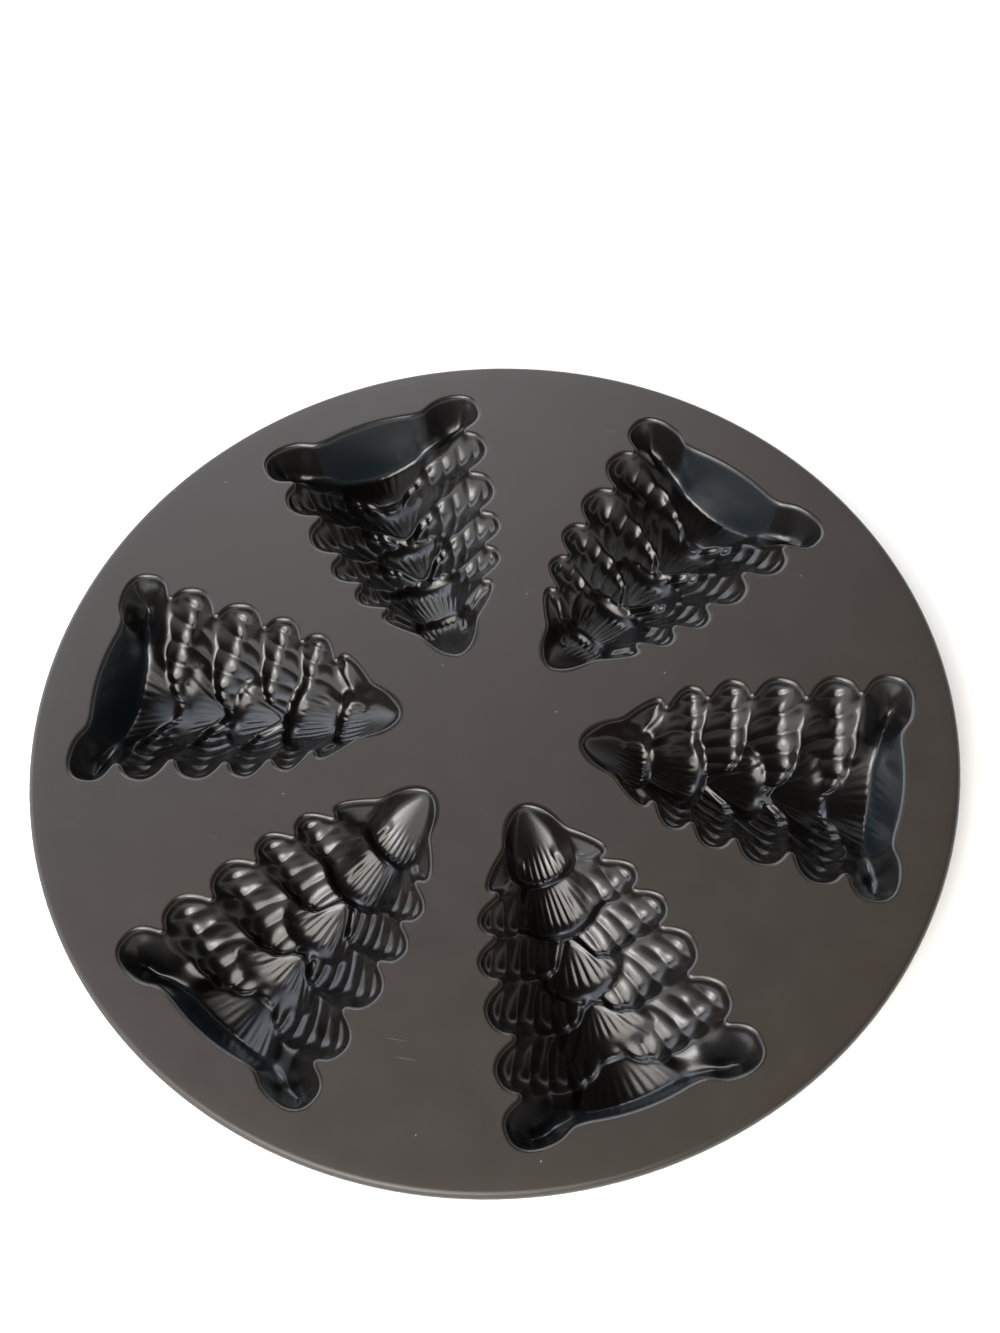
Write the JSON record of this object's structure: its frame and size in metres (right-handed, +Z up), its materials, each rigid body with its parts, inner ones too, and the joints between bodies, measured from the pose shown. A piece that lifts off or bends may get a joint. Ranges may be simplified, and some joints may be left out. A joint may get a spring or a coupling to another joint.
{
  "type": "cakelet pan",
  "caption": "Round dark nonstick baking pan with tree-shaped cups set tip to tip round its centre, each with fluted boughs and a flat end wall, for baking small moulded cakes.",
  "frame": {"origin": "centre of the pan on the plane that the feet of the cups stand on", "axes": "+Z up out of the cups, +X along the axis of the first cup from the pan's centre"},
  "size_m": [0.3, 0.3, 0.0277],
  "materials": {
    "deck_coating": "satin dark nonstick coating on cast aluminium",
    "cup_coating": "semi-gloss dark nonstick coating on cast aluminium"
  },
  "bodies": {
    "root": {"deck_plate": "deck_coating", "rim_edge": "deck_coating", "tree_cup_1": "cup_coating", "tree_cup_2": "cup_coating", "tree_cup_3": "cup_coating", "tree_cup_4": "cup_coating", "tree_cup_5": "cup_coating", "tree_cup_6": "cup_coating"}
  },
  "joints": []
}
